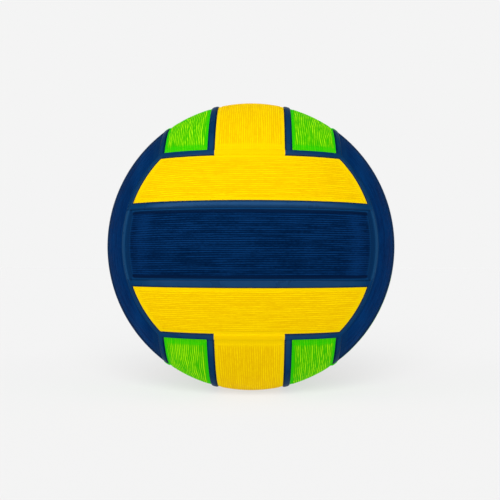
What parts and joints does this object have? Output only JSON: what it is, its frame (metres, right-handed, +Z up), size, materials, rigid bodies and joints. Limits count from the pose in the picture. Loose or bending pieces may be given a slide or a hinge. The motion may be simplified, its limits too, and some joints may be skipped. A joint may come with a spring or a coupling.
{
  "type": "water polo ball",
  "caption": "Hollow rubber water polo ball with a ridged cover of interlocking yellow, green and navy strip panels between raised seam ribs, and a needle valve at the back.",
  "frame": {"origin": "centre of the ball", "axes": "+Z is up as the ball rests, the pictured front with its navy strip faces -Y, and +Y runs out of the valve at the back"},
  "size_m": [0.22, 0.2199, 0.2199],
  "materials": {
    "yellow_rubber": "ridged matte",
    "green_rubber": "ridged matte",
    "navy_rubber": "ridged satin",
    "butyl_rubber": "smooth",
    "nylon_thread": "wound thread",
    "carcass_rubber": "smooth",
    "valve_rubber": "smooth",
    "plug_rubber": "smooth"
  },
  "bodies": {
    "ball": {"bladder": "butyl_rubber", "winding": "nylon_thread", "carcass": "carcass_rubber", "seam_ribs": "navy_rubber", "front_upper_panel": "yellow_rubber", "front_middle_panel": "navy_rubber", "front_lower_panel": "yellow_rubber", "back_upper_panel": "yellow_rubber", "back_middle_panel": "navy_rubber", "back_lower_panel": "yellow_rubber", "top_left_panel": "green_rubber", "top_middle_panel": "yellow_rubber", "top_right_panel": "green_rubber", "bottom_left_panel": "green_rubber", "bottom_middle_panel": "yellow_rubber", "bottom_right_panel": "green_rubber", "left_front_panel": "navy_rubber", "left_middle_panel": "green_rubber", "left_back_panel": "navy_rubber", "right_front_panel": "navy_rubber", "right_middle_panel": "green_rubber", "right_back_panel": "navy_rubber", "valve_housing": "valve_rubber"},
    "valve_plug": {"valve_plug": "plug_rubber"}
  },
  "joints": [
    {"name": "valve_plug_pull", "type": "slide", "parent": "ball", "child": "valve_plug", "axis": [0, 1, 0], "range_m": [0, 0.018]}
  ]
}
